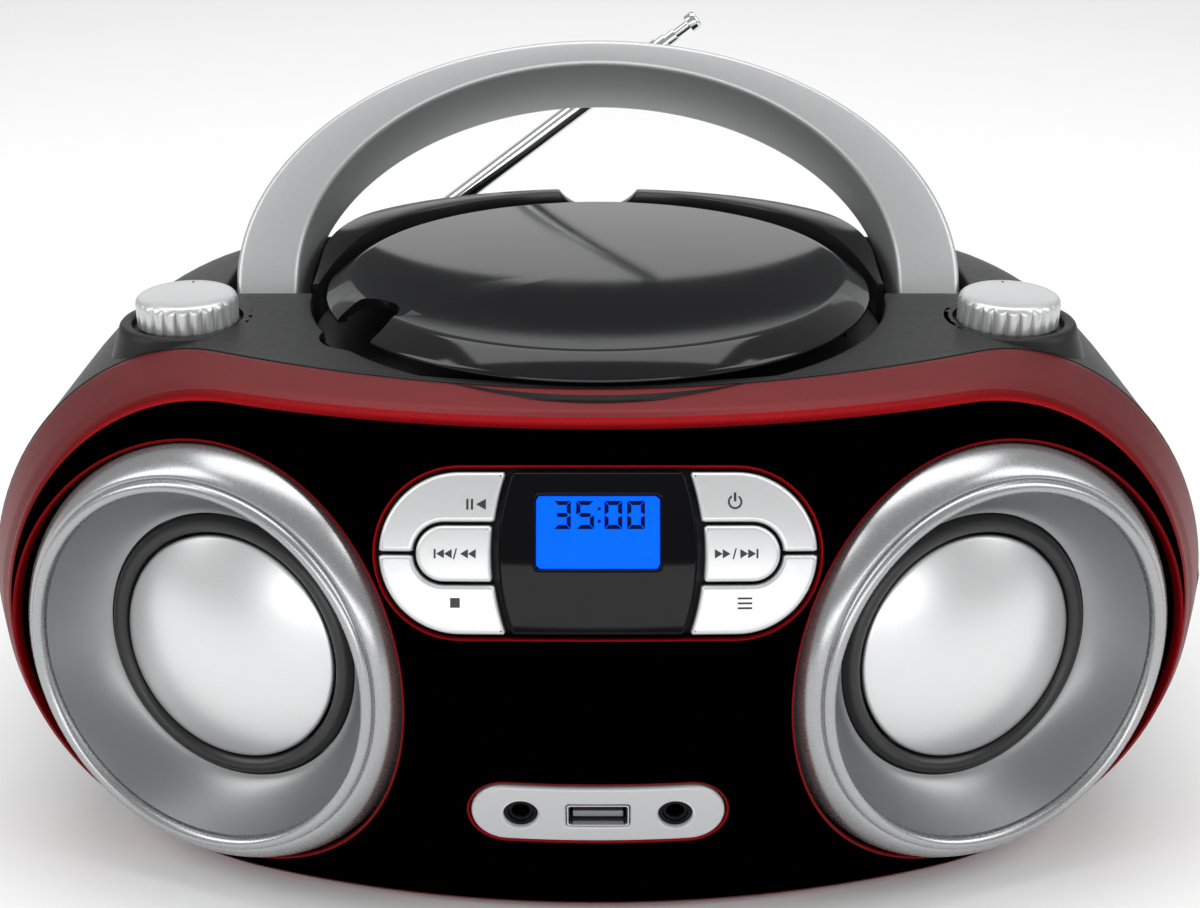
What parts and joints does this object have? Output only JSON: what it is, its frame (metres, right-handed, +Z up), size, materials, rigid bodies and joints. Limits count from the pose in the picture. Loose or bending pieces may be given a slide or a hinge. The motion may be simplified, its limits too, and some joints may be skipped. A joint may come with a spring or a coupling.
{
  "type": "boombox",
  "caption": "Portable radio and disc player: barrel-shaped red front with round speakers, folding handle, hinged disc lid, display, buttons and telescopic antenna.",
  "frame": {"origin": "centre of the base, on the surface the boombox stands on", "axes": "+X towards the right of someone facing the speakers, +Y towards the back, +Z up"},
  "size_m": [0.282, 0.1997, 0.168],
  "materials": {
    "red_shell": "deep satin red lacquer on plastic with a metallic glint",
    "black_shell": "dark grey satin plastic",
    "gloss_black": "glossy black plastic",
    "silver_trim": "silver paint with a fine grain",
    "rubber": "black rubber",
    "steel": "plain steel",
    "chrome": "polished chrome tube",
    "board": "green circuit board",
    "lcd": "backlit blue display",
    "inner_plastic": "dark moulded plastic",
    "ferrite": "dark ferrite"
  },
  "bodies": {
    "cabinet": {"front_shell": "red_shell", "top_shell": "black_shell", "rear_shell": "black_shell", "rubber_feet": "rubber", "case_screws": "steel", "left_trim_ring": "silver_trim", "right_trim_ring": "silver_trim", "left_basket": "steel", "right_basket": "steel", "left_magnet": "ferrite", "right_magnet": "ferrite", "left_surround": "rubber", "right_surround": "rubber", "display_window": "gloss_black", "lcd_panel": "lcd", "button_tray": "inner_plastic", "control_board": "board", "io_plate": "silver_trim", "aux_jack": "inner_plastic", "usb_port": "steel", "headphone_jack": "inner_plastic", "main_board": "board", "tuning_capacitor": "steel", "volume_pot": "steel", "lid_hinge_pins": "steel", "cd_tray": "inner_plastic", "cd_chassis": "steel", "spindle_motor": "steel", "sled_rods": "steel", "sled_motor": "steel", "transformer": "steel", "mains_inlet": "inner_plastic", "battery_box": "black_shell", "battery_springs": "steel"},
    "carry_handle": {"handle": "silver_trim", "handle_pins": "steel"},
    "lid": {"cd_lid": "gloss_black"},
    "clamp": {"disc_clamp": "inner_plastic"},
    "turntable": {"turntable": "inner_plastic"},
    "sled": {"laser_sled": "inner_plastic"},
    "lead_screw": {"lead_screw": "steel"},
    "tuning_knob": {"tuning_knob": "silver_trim"},
    "volume_knob": {"volume_knob": "silver_trim"},
    "play_button": {"play_button": "silver_trim"},
    "back_button": {"back_button": "silver_trim"},
    "stop_button": {"stop_button": "silver_trim"},
    "power_button": {"power_button": "silver_trim"},
    "next_button": {"next_button": "silver_trim"},
    "mode_button": {"mode_button": "silver_trim"},
    "left_cone": {"left_cone": "silver_trim"},
    "right_cone": {"right_cone": "silver_trim"},
    "antenna_swivel": {"antenna_swivel": "chrome"},
    "antenna_base": {"antenna_tube_1": "chrome"},
    "antenna_middle": {"antenna_tube_2": "chrome"},
    "antenna_upper": {"antenna_tube_3": "chrome"},
    "antenna_end": {"antenna_tip": "chrome"},
    "battery_door": {"battery_door": "black_shell"}
  },
  "joints": [
    {"name": "handle_fold", "type": "hinge", "parent": "cabinet", "child": "carry_handle", "pos_m": [0, 0.008, 0.098], "axis": [-1, 0, 0], "range_deg": [-36, 53]},
    {"name": "lid_hinge", "type": "hinge", "parent": "cabinet", "child": "lid", "pos_m": [0, 0.0615, 0.1135], "axis": [-1, 0, 0], "range_deg": [0, 28]},
    {"name": "turntable_spin", "type": "hinge", "parent": "cabinet", "child": "turntable", "pos_m": [0, -0.002, 0.11], "axis": [0, 0, 1], "continuous": true},
    {"name": "clamp_spin", "type": "hinge", "parent": "lid", "child": "clamp", "pos_m": [0, -0.002, 0.115], "axis": [0, 0, 1], "continuous": true},
    {"name": "sled_slide", "type": "slide", "parent": "cabinet", "child": "sled", "axis": [1, 0, 0], "range_m": [0, 0.018]},
    {"name": "lead_screw_spin", "type": "hinge", "parent": "cabinet", "child": "lead_screw", "pos_m": [0.012, 0.017, 0.099], "axis": [1, 0, 0], "range_deg": [-30, 1000]},
    {"name": "tuning_knob_turn", "type": "hinge", "parent": "cabinet", "child": "tuning_knob", "pos_m": [-0.0954, -0.0228, 0.117], "axis": [0, 0, 1], "range_deg": [-150, 150]},
    {"name": "volume_knob_turn", "type": "hinge", "parent": "cabinet", "child": "volume_knob", "pos_m": [0.0954, -0.0228, 0.117], "axis": [0, 0, 1], "range_deg": [-150, 150]},
    {"name": "play_press", "type": "slide", "parent": "cabinet", "child": "play_button", "axis": [0, 0.9135, -0.4067], "range_m": [0, 0.001], "stiffness_N_per_m": 1500},
    {"name": "back_press", "type": "slide", "parent": "cabinet", "child": "back_button", "axis": [0, 0.9135, -0.4067], "range_m": [0, 0.001], "stiffness_N_per_m": 1500},
    {"name": "stop_press", "type": "slide", "parent": "cabinet", "child": "stop_button", "axis": [0, 0.9135, -0.4067], "range_m": [0, 0.001], "stiffness_N_per_m": 1500},
    {"name": "power_press", "type": "slide", "parent": "cabinet", "child": "power_button", "axis": [0, 0.9135, -0.4067], "range_m": [0, 0.001], "stiffness_N_per_m": 1500},
    {"name": "next_press", "type": "slide", "parent": "cabinet", "child": "next_button", "axis": [0, 0.9135, -0.4067], "range_m": [0, 0.001], "stiffness_N_per_m": 1500},
    {"name": "mode_press", "type": "slide", "parent": "cabinet", "child": "mode_button", "axis": [0, 0.9135, -0.4067], "range_m": [0, 0.001], "stiffness_N_per_m": 1500},
    {"name": "left_cone_travel", "type": "slide", "parent": "cabinet", "child": "left_cone", "axis": [-0.3666, -0.926, 0.0896], "range_m": [-0.001, 0.001], "stiffness_N_per_m": 2000},
    {"name": "right_cone_travel", "type": "slide", "parent": "cabinet", "child": "right_cone", "axis": [0.3666, -0.926, 0.0896], "range_m": [-0.001, 0.001], "stiffness_N_per_m": 2000},
    {"name": "antenna_turn", "type": "hinge", "parent": "cabinet", "child": "antenna_swivel", "pos_m": [-0.075, 0.092, 0.08], "axis": [0, 0, 1], "range_deg": [0, 180]},
    {"name": "antenna_tilt", "type": "hinge", "parent": "antenna_swivel", "child": "antenna_base", "pos_m": [-0.075, 0.092, 0.087], "axis": [0, -1, 0], "range_deg": [-37, 53]},
    {"name": "antenna_pull_1", "type": "slide", "parent": "antenna_base", "child": "antenna_middle", "axis": [0.7986, 0, 0.6018], "range_m": [0, 0.095]},
    {"name": "antenna_pull_2", "type": "slide", "parent": "antenna_middle", "child": "antenna_upper", "axis": [0.7986, 0, 0.6018], "range_m": [0, 0.09]},
    {"name": "antenna_pull_3", "type": "slide", "parent": "antenna_upper", "child": "antenna_end", "axis": [0.7986, 0, 0.6018], "range_m": [0, 0.09]},
    {"name": "battery_door_hinge", "type": "hinge", "parent": "cabinet", "child": "battery_door", "pos_m": [0, 0.0952, 0.0104], "axis": [-1, 0, 0], "range_deg": [0, 60]}
  ],
  "couplings": [
    {"joint": "lead_screw_spin", "follows": "sled_slide", "rad_per_m": 785.4}
  ]
}
